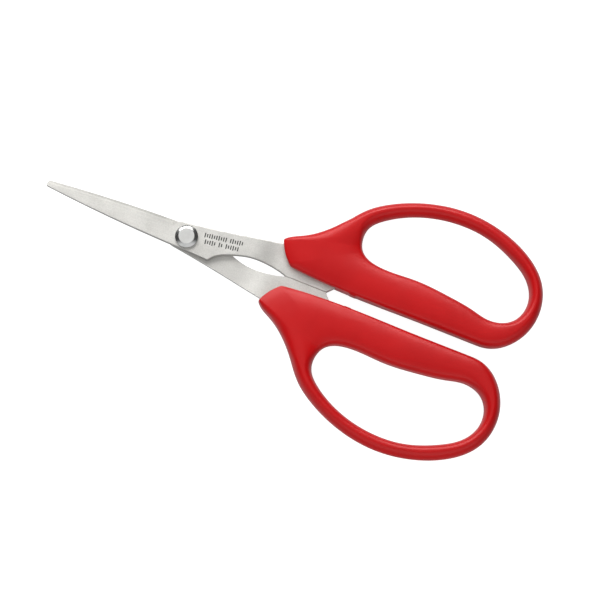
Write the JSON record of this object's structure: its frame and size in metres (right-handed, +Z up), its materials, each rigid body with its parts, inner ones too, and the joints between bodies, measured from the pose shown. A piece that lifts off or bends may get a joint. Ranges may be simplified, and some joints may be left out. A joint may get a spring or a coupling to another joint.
{
  "type": "floral snips",
  "caption": "Slim floral snips: narrow pointed blades on a riveted pivot, with offset steel necks and moulded oval finger bows.",
  "frame": {"origin": "middle of the footprint, on the flat surface that the closed snips lie on", "axes": "+X from the blade tips towards the finger bows, +Y towards the upper handle, which carries the front blade, +Z up through the pivot rivet towards its head"},
  "size_m": [0.1703, 0.087, 0.01],
  "materials": {
    "grip_plastic": "red moulded plastic, semi-gloss",
    "blade_steel": "satin stainless steel, ground edges",
    "rivet_steel": "turned and polished stainless steel"
  },
  "bodies": {
    "lower_half": {"rear_blade": "blade_steel", "lower_handle": "grip_plastic", "pivot_rivet": "rivet_steel", "pivot_washer": "rivet_steel"},
    "upper_half": {"front_blade": "blade_steel", "upper_handle": "grip_plastic"}
  },
  "joints": [
    {"name": "blade_pivot", "type": "hinge", "parent": "lower_half", "child": "upper_half", "pos_m": [-0.03415, 0, 0.005], "axis": [0, 0, 1], "range_deg": [0, 60]}
  ]
}
